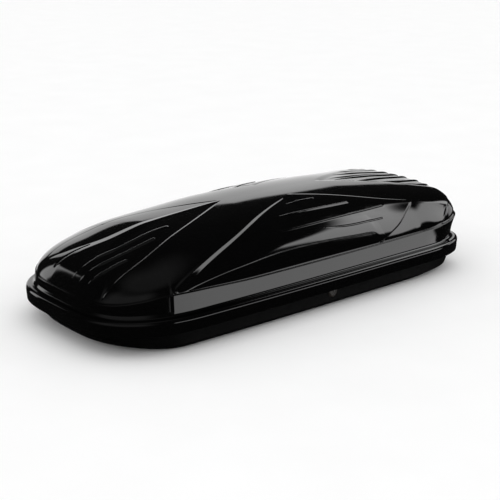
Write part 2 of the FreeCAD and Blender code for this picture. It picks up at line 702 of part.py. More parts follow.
def floor_rail(side, sign):
    """Hat section along Y: raised middle, open below, and a foot each side."""
    label = "floor_rail_" + side
    low_x = f"({sign}) * Dims.rail_x - Dims.rail_width / 2"
    high_x = f"({sign}) * Dims.rail_x + Dims.rail_width / 2"
    cut_y, cut_length = "-Dims.rail_length / 2 - 5", "Dims.rail_length + 10"
    bar = box(label + "_bar", (low_x, "-Dims.rail_length / 2", FLOOR),
              ("Dims.rail_width", "Dims.rail_length", "Dims.rail_height"))
    hollow = box(label + "_hollow", (f"{low_x} + Dims.rail_thick + {RAIL_FOOT}", cut_y, 0),
                 (f"Dims.rail_width - 2 * Dims.rail_thick - {2 * RAIL_FOOT}", cut_length,
                  "Dims.floor_thick + Dims.rail_height - Dims.rail_thick"))
    above_feet = [box(label + "_above_foot", (x, cut_y, "Dims.floor_thick + Dims.rail_thick"),
                      (RAIL_FOOT + 1, cut_length, 20))
                  for x in (f"{low_x} - 1", f"{high_x} - {RAIL_FOOT}")]
    node(cut(label, bar, fuse(label + "_tools", hollow, *above_feet)))


def mount_plate(name, x, y):
    """Rounded plate on the floor with the two slots of its mount."""
    width, length = dim("plate_width"), dim("plate_length")
    plate = Part.makeBox(width, length, dim("plate_thick"),
                         V3(x - width / 2, y - length / 2, dim("floor_thick") + 0.02))
    plate = plate.makeFillet(10.0, [e for e in plate.Edges if e.BoundBox.ZLength > 1.0])
    node(fixed("mount_plate_" + name, cut_slots(plate, x, y, 0, 12)))


def strap(place, mid):
    """Webbing across the floor with a two-window slide buckle."""
    node(box("load_strap_" + place,
             ("-Dims.strap_end", f"{mid} - Dims.strap_width / 2", "Dims.strap_z"),
             ("2 * Dims.strap_end", "Dims.strap_width", "Dims.strap_thick")))
    label = "strap_buckle_" + place
    frame = box(label + "_frame",
                (60, f"{mid} - 20", "Dims.strap_z + Dims.strap_thick + 0.4"), (42, 40, 6))
    windows = [box(label + "_window", (x, f"{mid} - 14", 10), (11, 28, 20))
               for x in (67, 84)]
    node(cut(label, frame, fuse(label + "_tools", *windows)))


def anchor_loop(name, mid, sign):
    """Square frame standing on the floor at the strap's end."""
    x = f"({sign}) * (Dims.strap_end + 8)"
    frame = box(name + "_frame", (f"{x} - 3", f"{mid} - 20", FLOOR), (6, 40, 18))
    window = box(name + "_window", (f"{x} - 5", f"{mid} - 15", "Dims.floor_thick + 4"),
                 (10, 30, 10))
    return cut(name, frame, window)


floor_rail("left", 1)
floor_rail("right", -1)
for mount in MOUNTS:
    mount_plate(*mount)
anchors = []
for place, i in (("front", -1), ("rear", 1)):
    mid = station(i, "strap_y")
    strap(place, mid)
    anchors.append(anchor_loop(f"anchor_{place}_left", mid, 1))
    anchors.append(anchor_loop(f"anchor_{place}_right", mid, -1))
node(group("strap_anchors", anchors))


# ----------------------------------------------------------------- fasteners
def heads(label, bases, radius, height, axis):
    """Compound of plain round heads standing at the given base centres."""
    node(group(label, [cyl(label + "_head", base, radius, height, axis)
                       for base in bases]))


# just off the outer face of the hinge base leaves
heads("hinge_base_rivets",
      [(base_leaf_x(i * dim("hinge_pitch")) - 1.55,
        f"{station(i, 'hinge_pitch')} + ({dy})", 72)
       for i in (-1, 0, 1) for dy in (-28, 28)], 3.5, 1.5, "x")
heads("floor_rail_screws",
      [(f"({sign}) * Dims.rail_x", y, "Dims.floor_thick + Dims.rail_height + 0.1")
       for sign in (1, -1) for y in (-560, -190, 190, 560)], 4.5, 2.4, "z")
heads("mount_plate_rivets",
      [(x, y + dy, "Dims.floor_thick + Dims.plate_thick + 0.05")
       for _, x, y in MOUNTS for dy in (-96.0, 96.0)], 4, 1.8, "z")
# on the +X face of the rod, behind each finger
heads("latch_finger_rivets",
      [("Dims.rod_x + Dims.rod_thick / 2 + 0.05", f"{station(i, 'keeper_pitch')} - 24", ROD_Z)
       for i in (-1, 0, 1)], 3.5, 1.6, "x")

# --------------------------------------------------------------------- write
doc.recompute()
bad = [(obj.Name, list(obj.State)) for obj in doc.Objects
       if "Invalid" in obj.State or "Error" in obj.State]
for obj in nodes:
    if obj.Shape.isNull() or not obj.Shape.isValid() or not obj.Shape.Solids:
        bad.append((obj.Label, "shape"))
if bad:
    raise SystemExit("failed objects: %r" % bad)
for obj in nodes:
    obj.Shape.exportStep(f"parts/{obj.Label}.step")
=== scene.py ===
"""A long lidded box: detailed lid, rim seal and load straps on top of the CAD pieces.

The box lies along y with its nose at -y and its tail at +y, x runs across, and the floor
is at z = 0. Shapes are worked out in millimetres and become metres when a mesh is built.
"""
import json
import math

import bmesh
import bpy
import numpy as np
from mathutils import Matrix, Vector


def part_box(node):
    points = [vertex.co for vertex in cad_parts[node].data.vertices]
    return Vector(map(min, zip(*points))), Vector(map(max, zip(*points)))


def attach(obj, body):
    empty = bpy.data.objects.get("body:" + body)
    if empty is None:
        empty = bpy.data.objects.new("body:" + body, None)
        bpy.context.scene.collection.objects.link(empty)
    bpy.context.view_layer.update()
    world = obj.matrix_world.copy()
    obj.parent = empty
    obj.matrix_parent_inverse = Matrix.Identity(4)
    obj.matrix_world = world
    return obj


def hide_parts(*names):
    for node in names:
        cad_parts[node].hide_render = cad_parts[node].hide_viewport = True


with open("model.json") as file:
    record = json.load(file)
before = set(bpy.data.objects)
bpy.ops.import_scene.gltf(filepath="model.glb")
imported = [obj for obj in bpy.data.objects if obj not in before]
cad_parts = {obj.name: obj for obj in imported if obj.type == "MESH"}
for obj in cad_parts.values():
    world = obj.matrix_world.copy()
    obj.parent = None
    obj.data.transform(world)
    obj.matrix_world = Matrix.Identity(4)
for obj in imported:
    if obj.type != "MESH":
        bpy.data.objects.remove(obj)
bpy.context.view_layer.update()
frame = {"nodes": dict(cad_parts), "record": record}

MM = 0.001
HALF_LENGTH = 975.0
QUARTER_TURN = math.pi / 2

# --------------------------------------------------------------------------
# Curves
# --------------------------------------------------------------------------


def monotone_curve(stations, values):
    """Cubic through the points that never overshoots them, held flat beyond the ends."""
    stations, values = np.array(stations, float), np.array(values, float)
    gap = np.diff(stations)
    slope = np.diff(values) / gap
    tangent = np.zeros_like(values)
    for i in range(1, len(stations) - 1):
        if slope[i - 1] * slope[i] > 0:
            before = 2 * gap[i] + gap[i - 1]
            after = gap[i] + 2 * gap[i - 1]
            tangent[i] = (before + after) / (before / slope[i - 1] + after / slope[i])
    tangent[0], tangent[-1] = slope[0], slope[-1]

    def curve(x):
        x = np.clip(x, stations[0], stations[-1])
        i = np.clip(np.searchsorted(stations, x) - 1, 0, len(gap) - 1)
        t = (x - stations[i]) / gap[i]
        return ((2 * t**3 - 3 * t**2 + 1) * values[i]
                + (t**3 - 2 * t**2 + t) * gap[i] * tangent[i]
                + (-2 * t**3 + 3 * t**2) * values[i + 1]
                + (t**3 - t**2) * gap[i] * tangent[i + 1])
    return curve


def ease(start, end, value):
    """Smooth step from 0 at start to 1 at end; start may be the larger of the two."""
    t = np.clip((value - start) / (end - start), 0, 1)
    return t * t * (3 - 2 * t)


def smooth_path(points, steps=6):
    """Catmull-Rom curve through the points; two points stay a straight line."""
    knots = np.array(points, float)
    if len(knots) < 3:
        return [tuple(knot) for knot in knots]
    knots = np.vstack([2 * knots[0] - knots[1], knots, 2 * knots[-1] - knots[-2]])
    path = []
    for a, b, c, d in zip(knots, knots[1:], knots[2:], knots[3:]):
        for t in np.linspace(0, 1, steps, endpoint=False):
            path.append(tuple(0.5 * ((2 * b) + (-a + c) * t
                                     + (2 * a - 5 * b + 4 * c - d) * t * t
                                     + (-a + 3 * b - 3 * c + d) * t**3)))
    path.append(tuple(knots[-2]))
    return path


def path_distance(x, y, points):
    """Distance to a polyline, and the share of its length at the nearest place."""
    lengths = [math.dist(a, b) for a, b in zip(points, points[1:])]
    total, passed = sum(lengths), 0.0
    nearest = np.full(x.shape, 1e9)
    share = np.zeros(x.shape)
    for a, b, length in zip(points, points[1:], lengths):
        start = np.array(a, float)
        run = np.array(b, float) - start
        t = ((x - start[0]) * run[0] + (y - start[1]) * run[1]) / (run * run).sum()
        t = np.clip(t, 0, 1)
        distance = np.hypot(x - start[0] - t * run[0], y - start[1] - t * run[1])
        closer = distance < nearest
        nearest = np.where(closer, distance, nearest)
        share = np.where(closer, (passed + t * length) / total, share)
        passed += length
    return nearest, share


# --------------------------------------------------------------------------
# Plan outline
# --------------------------------------------------------------------------
PLAN_WIDTH = 910.4
TAPER = 0.047               # share of the width lost at the nose
TAPER_RUN = 0.6             # share of the length that tapers
# Rounding of the ends: length, power, root
NOSE_ROUNDING = (384.6, 2.149, 3.83)
TAIL_ROUNDING = (341.6, 2.397, 5.797)
OUTLINE_SAMPLES = 24001     # fine outline that is then evenly respaced


def end_rounding(from_end, length, power, root):
    """Share of the width left at a distance from a rounded end."""
    lost = np.clip((length - from_end) / length, 0, 1) ** power
    return np.where(from_end < length, np.clip(1 - lost, 0, 1) ** (1 / root), 1)


def half_width(y):
    from_nose, from_tail = y + HALF_LENGTH, HALF_LENGTH - y
    t = np.clip(from_nose / (TAPER_RUN * 2 * HALF_LENGTH), 0, 1)
    body = PLAN_WIDTH / 2 * (1 - TAPER * (1 - t) ** 2)
    return (body * end_rounding(from_nose, *NOSE_ROUNDING)
            * end_rounding(from_tail, *TAIL_ROUNDING))


def half_outline(count):
    """Plan outline, nose to tail, x >= 0, evenly spaced, with outward normals."""
    y = -HALF_LENGTH * np.cos(np.linspace(0, math.pi, OUTLINE_SAMPLES))
    x = half_width(y)
    length = np.concatenate([[0], np.cumsum(np.hypot(np.diff(x), np.diff(y)))])
    even = np.linspace(0, length[-1], count)
    points = np.stack([np.interp(even, length, x), np.interp(even, length, y)], 1)
    tangents = np.gradient(points, axis=0)
    tangents[0] = (1, 0)
    tangents[-1] = (-1, 0)
    # a light smoothing keeps the normals steady at the blunt ends
    for _ in range(6):
        tangents[1:-1] = 0.25 * tangents[:-2] + 0.5 * tangents[1:-1] + 0.25 * tangents[2:]
    tangents /= np.linalg.norm(tangents, axis=1)[:, None]
    return points, np.stack([tangents[:, 1], -tangents[:, 0]], 1)


def inset_outline(points, normals, inset):
    """The outline moved inwards, kept at x >= 0 with its ends on the centre line."""
    moved = points - normals * np.reshape(inset, (-1, 1))
    moved[:, 0] = np.maximum(moved[:, 0], 0)
    moved[0, 0] = moved[-1, 0] = 0
    return moved


def outline_row(points, normals, inset, z):
    """3D half row at an inset and height; each is one number or one per point."""
    level = np.broadcast_to(z, (len(points),))
    return np.column_stack([inset_outline(points, normals, inset), level])


# --------------------------------------------------------------------------
# Mesh building
# --------------------------------------------------------------------------


def build_mesh(name, vertices, faces, merge=1e-6):
    """Smooth-shaded object from millimetre vertices; merge is in metres."""
    mesh = bpy.data.meshes.new(name)
    mesh.from_pydata([tuple(v) for v in (np.asarray(vertices) * MM)], [], faces)
    mesh.validate()
    mesh.update()
    piece = bpy.data.objects.new(name, mesh)
    bpy.context.scene.collection.objects.link(piece)
    bm = bmesh.new()
    bm.from_mesh(mesh)
    bmesh.ops.remove_doubles(bm, verts=bm.verts, dist=merge)
    bmesh.ops.dissolve_degenerate(bm, edges=bm.edges, dist=1e-7)
    bmesh.ops.recalc_face_normals(bm, faces=bm.faces)
    bm.to_mesh(mesh)
    bm.free()
    mesh.shade_smooth()
    return piece


def closed_loop(row, mirrored_row):
    """Closed loop from a half row and the half row to mirror to -x."""
    return np.concatenate([row, mirrored_row[-2:0:-1] * np.array([-1, 1, 1])])


def band_faces(first, second, count, flip=False):
    """Quads between two closed loops that start at these vertex numbers."""
    i = np.arange(count)
    j = (i + 1) % count
    quads = np.stack([first + i, first + j, second + j, second + i], 1)
    return quads[:, ::-1] if flip else quads


# --------------------------------------------------------------------------
# Lid relief
# --------------------------------------------------------------------------
# Hood at the nose, x by y: edge of the sunk wedge, then crest and foot of its ridge
HOOD_EDGE = monotone_curve([-945, -925, -916, -883, -848, -778, -652, -455, -302, -181, -165],
                           [214, 219, 223, 231, 232, 228, 204, 137, 69, 8, 0])
RIDGE_CREST = monotone_curve([-930, -914, -869, -800, -740, -682, -600, -165],
                             [112, 106, 84, 52, 30, 13, 3, 0])
RIDGE_FOOT = monotone_curve([-930, -914, -878, -830, -760, -700, -600, -450, -300, -165],
                            [238, 230, 205, 140, 84, 56, 34, 18, 12, 4])
# Side panel: inner edge (a diagonal, then the top edge) and outer edge, x by y
PANEL_INNER = monotone_curve([-720, -710, -612, -455, -298, -90, 60, 106, 150, 265, 465, 662],
                             [398, 394, 368, 322, 272, 190, 130, 110, 129, 176, 252, 312])
PANEL_OUTER = monotone_curve([-720, -622, -391, -173, 66, 236, 330, 352, 372, 400],
                             [403, 399, 387, 382, 386, 390, 392, 396, 414, 432])
# Rear edge of the side panel, and the step at the tail's corner, y by x
PANEL_REAR = monotone_curve([300, 312, 322, 352, 388, 404, 412],
                            [664, 660, 650, 592, 508, 436, 385])
TAIL_STEP = monotone_curve([296, 308, 330, 372, 404, 418, 426],
                           [902, 900, 893, 850, 796, 735, 680])
# Hollow behind the side panel: upper and lower edge, x by y
HOLLOW_TOP = monotone_curve([380, 600, 640, 676, 728, 785, 836, 900],
                            [306, 314, 321, 331, 343, 352, 362, 372])
HOLLOW_LOW = monotone_curve([380, 600, 650, 724, 804, 900], [411, 413, 415, 413, 406, 396])
# Edge of the sunk wedge in the rear deck, x by y
DECK_EDGE = monotone_curve([352, 366, 450, 536, 700, 881, 940], [0, 8, 52, 92, 164, 249, 270])

# Strakes: (x, y) points, width inside the line, width outside it, height
HOOD_STRAKES = [
    ([(20, -918), (54, -820), (74, -690), (90, -505)], 8, 16, 3.6),
    ([(72, -918), (100, -840), (122, -735), (136, -600)], 8, 14, 3.6),
    ([(124, -912), (147, -855), (170, -752)], 8, 12, 3.2),
]
SIDE_STRAKES = [
    ([(179, 20), (189, 185)], 6, 6, 3.0),
    ([(243, -150), (256, 80), (254, 325)], 7, 6, 3.8),
    ([(317, -290), (322, 47), (306, 490)], 7, 6, 4.0),
    ([(344, 60), (358, 230), (356, 440)], 4.5, 4.5, 2.0),
]
DECK_STRAKES = [
    ([(18, 440), (14, 700), (6, 915)], 26, 16, 5.2),
    ([(76, 520), (72, 700), (60, 915)], 26, 16, 5.4),
    ([(128, 620), (136, 780), (134, 910)], 24, 15, 4.6),
    ([(184, 740), (192, 840), (198, 905)], 20, 12, 3.4),
]
# Single groove in the hood, on the -x side only
GROOVE_PATH = [(124, -900), (100, -840), (66, -756)]
GROOVE_WIDTH = 5.0
GROOVE_DEPTH = 2.4

HOOD_DEPTH = {1: 4.2, -1: 0.84}     # by side of the lid
HOOD_BACK = -172                    # y where the hood ends
RIDGE_SLOPE, RIDGE_LIMIT = 0.15, 8.5
# Cosines that turn a distance along x or y into one square to a slanting edge
HOOD_SLANT, PANEL_SLANT, PANEL_REAR_SLANT = 0.86, 0.94, 0.62
TAIL_SLANT, DECK_SLANT = 0.7, 0.9
DIAGONAL_DEPTH = 5.4
PANEL_TOP_LIFT = 2.6
PANEL_LOW_LIFT, PANEL_LOW_EXTRA = 2.8, 1.2      # front end, and what it gains by mid-length
HOLLOW_DEPTH = 8.0
TAIL_STEP_DEPTH = 4.0
DECK_DEPTH = 5.4
OUTSIDE = -50                       # stands for "well outside the edge"


def strake(x, y, points, inner, outer, height):
    """Fin along y: rises over inner, falls over outer, and starts at a point."""
    path = np.array(smooth_path(points))
    beside = x - np.interp(y, path[:, 1], path[:, 0])
    t = (y - path[0, 1]) / (path[-1, 1] - path[0, 1])
    grow = 0.12 + 0.88 * ease(0, 0.42, t)
    rise = ease(-inner * grow, 0, beside)
    fall = 1 - ease(0, outer * grow, beside)
    ends = ease(-0.01, 0.12, t) * (1 - ease(0.985, 1.01, t))
    return height * grow * rise * fall * ends


def strakes(x, y, table):
    return sum(strake(x, y, *entry) for entry in table)


def groove(x, y, points, width, depth):
    distance, share = path_distance(x, y, points)
    return depth * np.exp(-(distance / width) ** 2) * ease(0, 0.1, share) * ease(1, 0.9, share)


def hood_relief(x, y, climb, side):
    """Shallow sunk wedge with its point at the crown, a centre ridge, and strakes."""
    edge, crest, foot = HOOD_EDGE(y), RIDGE_CREST(y), RIDGE_FOOT(y)
    inside = ease(-4, 6, np.where(y > HOOD_BACK, OUTSIDE, (edge - x) * HOOD_SLANT))
    sunk = np.clip((x - foot) / np.maximum(edge - foot, 4), 0, 1)
    relief = -HOOD_DEPTH[side] * inside * ease(2, 14, climb) * sunk
    run = np.maximum(foot - crest, 1)
    rise = np.clip((foot - x) / run, 0, 1)
    relief += (inside * np.minimum(RIDGE_SLOPE * run, RIDGE_LIMIT) * rise
               * ease(0, 95, climb) * ease(HOOD_BACK, -215, y))
    if side > 0:
        return relief + strakes(x, y, HOOD_STRAKES) * inside * ease(10, 50, climb)
    return relief - groove(x, y, GROOVE_PATH, GROOVE_WIDTH, GROOVE_DEPTH) * ease(4, 24, climb)


def side_panel_relief(x, y):
    """Panel sunk along its diagonal and raised along its top and outer edges."""
    past_inner = (x - PANEL_INNER(y)) * PANEL_SLANT
    to_outer = PANEL_OUTER(y) - x
    within = (ease(-720, -690, y) * ease(664, 640, y)
              * (1 - ease(-3, 4, (y - PANEL_REAR(x)) * PANEL_REAR_SLANT)))
    slope_width = 8 + 7 * ease(40, -250, y)
    relief = -(DIAGONAL_DEPTH * ease(0, slope_width, past_inner)
               * (1 - ease(26, 150, past_inner)) * ease(106, 62, y) * ease(0, 24, to_outer + 8))
    relief += (PANEL_TOP_LIFT * ease(-5, 3, past_inner) * (1 - ease(8, 90, past_inner))
               * ease(104, 140, y))
    lift = PANEL_LOW_LIFT + PANEL_LOW_EXTRA * ease(-640, 60, y)
    relief += (lift * ease(-1.7, 1.7, to_outer) * (1 - ease(10, 75, to_outer))
               * ease(-6, 4, past_inner))
    return relief * within + strakes(x, y, SIDE_STRAKES)


def rear_quarter_relief(x, y):
    """Hollow behind the side panel, then a step down at the tail's corner."""
    past_panel = (y - PANEL_REAR(x)) * PANEL_REAR_SLANT
    past_step = (y - TAIL_STEP(x)) * TAIL_SLANT
    top = HOLLOW_TOP(y)
    across = np.clip((x - top) / (HOLLOW_LOW(y) - top), 0, 1)
    # the arcsine evens the hollow out over the curved surface; u runs 0 to 1
    u = (np.arcsin(0.5 + 0.461 * across) - 0.5236) / 0.7657
    hollow = HOLLOW_DEPTH * 4 * u * (1 - u) * ease(-2, 6, past_panel)
    hollow *= 1 - ease(-12, 9, past_step)
    step = TAIL_STEP_DEPTH * ease(-3, 4, past_step) * (1 - ease(10, 60, past_step))
    return -hollow - step * ease(296, 320, x)


def rear_deck_relief(x, y):
    """Sunk wedge with its point forward, and its strakes."""
    inside = np.where(y < 356, OUTSIDE, (DECK_EDGE(y) - x) * DECK_SLANT)
    sunk = DECK_DEPTH * ease(-2, 38, inside) * ease(352, 410, y)
    return strakes(x, y, DECK_STRAKES) * ease(0, 12, inside) - sunk


def lid_relief(x, y, climb, side):
    """Relief along the normal; climb is the distance up the surface from the crown's edge."""
    relief = (hood_relief(x, y, climb, side) + side_panel_relief(x, y)
              + rear_quarter_relief(x, y) + rear_deck_relief(x, y))
    return relief * ease(0, 8, climb)


# --------------------------------------------------------------------------
# Lid surface
# --------------------------------------------------------------------------
# Crown by y: height of the spine, height of the edge, and the section's power and root
SPINE_Z = monotone_curve(
    [-975, -877.5, -731, -536, -341, -146, 97.5, 390, 682.5, 829, 975],
    [247.2, 333.1, 343.0, 378.6, 396.3, 409.2, 413.7, 408.6, 388.0, 370.0, 352.0])
EDGE_Z = monotone_curve([-975, -682.5, -292.5, 292.5, 780, 975],
                        [187.7, 221.8, 211.4, 213.0, 222.4, 252.0])
CROWN_POWER = monotone_curve([-975, -487.5, 0, 487.5, 975], [2.56, 2.65, 2.68, 2.33, 2.96])
CROWN_ROOT = monotone_curve([-975, -487.5, 0, 487.5, 975], [1.58, 1.47, 1.55, 1.52, 2.21])
SPINE_FRONT, SPINE_REAR = -0.55 * HALF_LENGTH, 0.884 * HALF_LENGTH

# Outer face of the skirt from its lower edge up: inset, z
SKIRT_FACE = [(5.6, 81.0), (4.0, 81.05), (3.1, 81.7), (2.7, 83.0), (2.3, 90.0),
              (1.6, 101.0), (0.9, 112.0), (0.4, 120.0), (0.25, 123.0)]
LEDGE_Z = 140.2
LEDGE_START = 13.5          # inset where the ledge leaves the rounded skirt edge
LEDGE_INSET = 33.0          # inset of the wall's foot
LEDGE_RISE = 0.8
FILLET = 9.0                # between ledge and wall
WALL_LEAN = 3.9
CREASE = 4.0                # radius at the top of the wall
CREASE_DROP = 4.5           # start of the crease below the crown's edge
CROWN_GAP = 2.0             # from the crease to the crown's edge
LID_THICKNESS = 3.2
OUTLINE_COUNT = 820
OUTER_CROWN_ROWS, INNER_CROWN_ROWS = 230, 120


def skirt_profile(thickness):
    """(inset, z) of the skirt, its rounded upper edge, the ledge and the fillet."""
    top = LEDGE_Z - thickness
    if thickness:
        profile = [(thickness, 82.0), (thickness, 112.0)]
        start, round_in, round_down, steps = thickness, 11.5, 12, 5
    else:
        profile = list(SKIRT_FACE)
        start, round_in, round_down, steps = 0.15, 12.5, 15, 10
    for k in range(steps + 1):
        angle = QUARTER_TURN * k / steps
        profile.append((start + round_in * (1 - math.cos(angle)),
                        top - round_down * (1 - math.sin(angle))))
    fillet_start = LEDGE_INSET + thickness - FILLET
    for f in (0.35, 0.7):
        profile.append(((LEDGE_START + thickness) * (1 - f) + fillet_start * f, top + 0.5 * f))
    for k in range(7):
        angle = QUARTER_TURN * k / 6
        profile.append((fillet_start + FILLET * math.sin(angle),
                        top + LEDGE_RISE + FILLET * (1 - math.cos(angle))))
    return profile


def wall_profile(thickness, y):
    """(inset, z) arrays of the upright wall and its crease, and the crown edge's inset."""
    tail_flare = 24.0 * np.clip((y - 634) / 292, 0, 1) ** 1.5
    nose_step = 3.0 * ease(-713, -723, y)
    foot = LEDGE_INSET + thickness + nose_step
    foot_z = LEDGE_Z - thickness + LEDGE_RISE + FILLET
    crease_z = EDGE_Z(y) - CREASE_DROP
    steps = 5 if thickness else 16
    profile = []
    for k in range(1, steps + 1):
        f = k / steps
        profile.append((foot + WALL_LEAN * f - tail_flare * f ** 1.6,
                        foot_z * (1 - f) + (crease_z - thickness * 0.6) * f))
    wall_top = foot + WALL_LEAN - tail_flare
    if not thickness:
        for k in range(1, 6):
            angle = QUARTER_TURN * k / 5
            profile.append((wall_top + CREASE * (1 - math.cos(angle)),
                            crease_z + CREASE * math.sin(angle)))
    return profile, wall_top + CREASE + CROWN_GAP


def grid_normals(grid):
    """Upward normals of a (rows, points, 3) grid."""
    normals = np.cross(np.gradient(grid, axis=1), np.gradient(grid, axis=0))
    normals = normals / np.maximum(np.linalg.norm(normals, axis=2, keepdims=True), 1e-9)
    normals *= np.where(normals[..., 2:] < 0, -1, 1)
    # rows bunch together at the spine, so the last ones borrow a steadier normal
    normals[-3:] = normals[-4]
    normals[:, 0, 0] = normals[:, -1, 0] = 0
    normals /= np.linalg.norm(normals, axis=2, keepdims=True)
    return normals


def crown_grid(edge, edge_z, row_count, thickness, side):
    """Rows of the domed crown, from its edge up to the spine, with relief."""
    count = len(edge)
    edge_y = edge[:, 1]
    spine = np.stack([np.zeros(count), np.clip(edge_y, SPINE_FRONT, SPINE_REAR)], 1)
    grid = np.zeros((row_count, count, 3))
    for k, angle in enumerate(np.linspace(QUARTER_TURN, 0, row_count)):
        rho = math.sin(angle)
        plan = spine + rho * (edge - spine)
        dome = np.clip(1 - rho ** CROWN_POWER(edge_y), 0, 1) ** (1 / CROWN_ROOT(edge_y))
        grid[k, :, :2] = plan
        grid[k, :, 2] = edge_z + (SPINE_Z(plan[:, 1]) - edge_z) * dome
    normals = grid_normals(grid)
    # distance up the surface, so that the relief also fades in where it is steep
    steps = np.linalg.norm(np.diff(grid, axis=0), axis=2)
    climb = np.concatenate([np.zeros((1, count)), np.cumsum(steps, axis=0)])
    relief = lid_relief(grid[..., 0], grid[..., 1], climb, side)
    grid = grid + normals * (relief - thickness)[..., None]
    grid[..., 0] = np.maximum(grid[..., 0], 0)
    return grid


def lid_rows(row_count, thickness, side):
    """Half rows at x >= 0 from the skirt's lower edge up to the spine."""
    points, normals = half_outline(OUTLINE_COUNT)
    y = points[:, 1]
    wall, crown_inset = wall_profile(thickness, y)
    rows = [outline_row(points, normals, inset, z)
            for inset, z in skirt_profile(thickness) + wall]
    edge = inset_outline(points, normals, crown_inset)
    return rows + list(crown_grid(edge, EDGE_Z(y), row_count, thickness, side))


def lid_loops(row_count, thickness):
    return [closed_loop(plus, minus)
            for plus, minus in zip(lid_rows(row_count, thickness, side=1),
                                   lid_rows(row_count, thickness, side=-1))]


def build_lid():
    """Closed shell: outer and inner skins, joined at the lower edge of the skirt."""
    outer = lid_loops(OUTER_CROWN_ROWS, thickness=0.0)
    inner = lid_loops(INNER_CROWN_ROWS, thickness=LID_THICKNESS)
    count = len(outer[0])
    inner_start = len(outer) * count
    faces = [band_faces(k * count, (k + 1) * count, count) for k in range(len(outer) - 1)]
    for k in range(len(inner) - 1):
        first = inner_start + k * count
        faces.append(band_faces(first, first + count, count, flip=True))
    faces.append(band_faces(0, inner_start, count, flip=True))
    return build_mesh("lid_moulding", np.concatenate(outer + inner),
                      np.concatenate(faces).tolist())


# --------------------------------------------------------------------------
# Rim seal
# --------------------------------------------------------------------------
# Closed section of the rubber bulb and lip: inset, z
SEAL_SECTION = [
    (25.4, 124.1), (24.9, 125.2), (24.9, 127.2), (25.4, 128.4), (24.9, 129.4), (25.3, 130.8),
    (26.2, 131.9), (26.9, 132.3), (27.2, 133.1), (28.0, 133.7), (29.0, 133.85), (30.0, 133.6),
    (30.7, 132.9), (31.0, 131.9), (30.8, 131.0), (30.1, 130.3), (30.3, 129.5), (31.2, 129.0),
    (31.5, 128.0), (31.3, 127.0), (31.5, 126.0), (31.4, 124.1)]
SEAL_OUTLINE_COUNT = 420


def build_seal():
    """The section carried round the plan outline."""
    points, normals = half_outline(SEAL_OUTLINE_COUNT)
    rows = [outline_row(points, normals, inset, z) for inset, z in SEAL_SECTION]
    loops = [closed_loop(row, row) for row in rows]
    count = len(loops[0])
    faces = [band_faces(i * count, (i + 1) % len(loops) * count, count)
             for i in range(len(loops))]
    return build_mesh("rim_seal_bulb", np.concatenate(loops), np.concatenate(faces).tolist())


# --------------------------------------------------------------------------
# Load straps
# --------------------------------------------------------------------------
WEBBING_THICKNESS = 1.3
CORD_PITCH = 2.1            # between lengthwise cords
WEFT_PITCH = 2.4
WEBBING_STEP = 0.75         # mesh step along the strap
WEBBING_COLUMNS = 45

# Strap paths in section: x, z. The turned-back end above, then the run below it
STRAP_END = [(345.0, 21.6), (344.2, 24.2), (338.5, 24.6), (333.0, 23.0), (322.0, 17.6),
             (300.0, 16.75), (268.0, 16.6), (262.0, 16.6)]
STRAP_UNDER = [(345.0, 21.6), (344.2, 18.2), (339.0, 16.4), (328.0, 15.6), (300.0, 15.1)]
STRAP_MIDDLE = [(x, 14.95 + 0.22 * math.cos(x / 61.0)) for x in np.linspace(260, -260, 27)]
# Loose tail lying back along the strap, with a folded end
STRAP_TAIL = [(96.0, 16.9), (88.0, 18.4), (81.0, 19.4), (73.0, 18.4), (62.0, 17.0),
              (40.0, 16.7), (0.0, 16.75), (-45.0, 17.2), (-84.0, 18.4), (-108.0, 21.0),
              (-121.0, 23.6), (-123.5, 25.2), (-121.0, 26.0), (-113.0, 24.0), (-100.0, 21.9)]

STITCH_LENGTH = 2.6
STITCH_GAP = 0.7
STITCH_RADIUS = 0.34
STITCH_Z = 17.75
STITCH_SIDES = 6
# Rings of one stitch: share of its length, share of its radius, lift
STITCH_RINGS = ((0.0, 0.15, -0.35), (0.18, 0.75, 0.0), (0.5, 1.0, 0.16),
                (0.82, 0.75, 0.0), (1.0, 0.15, -0.35))
SEWN_X = (268.0, 296.0)     # ends of the sewn patch
SEWN_HALF_WIDTH = 9.5


def mirror_path(path):
    return [(-x, z) for x, z in path]


def even_path(path, step):
    """Evenly spaced points, tangents and running length of a smoothed (x, z) path."""
    fine = np.array(smooth_path(path, 14))
    length = np.concatenate([[0], np.cumsum(np.hypot(*np.diff(fine, axis=0).T))])
    along = np.linspace(0, length[-1], max(8, int(length[-1] / step)))
    points = np.stack([np.interp(along, length, fine[:, i]) for i in (0, 1)], 1)
    tangents = np.gradient(points, axis=0)
    tangents /= np.linalg.norm(tangents, axis=1)[:, None]
    return points, tangents, along


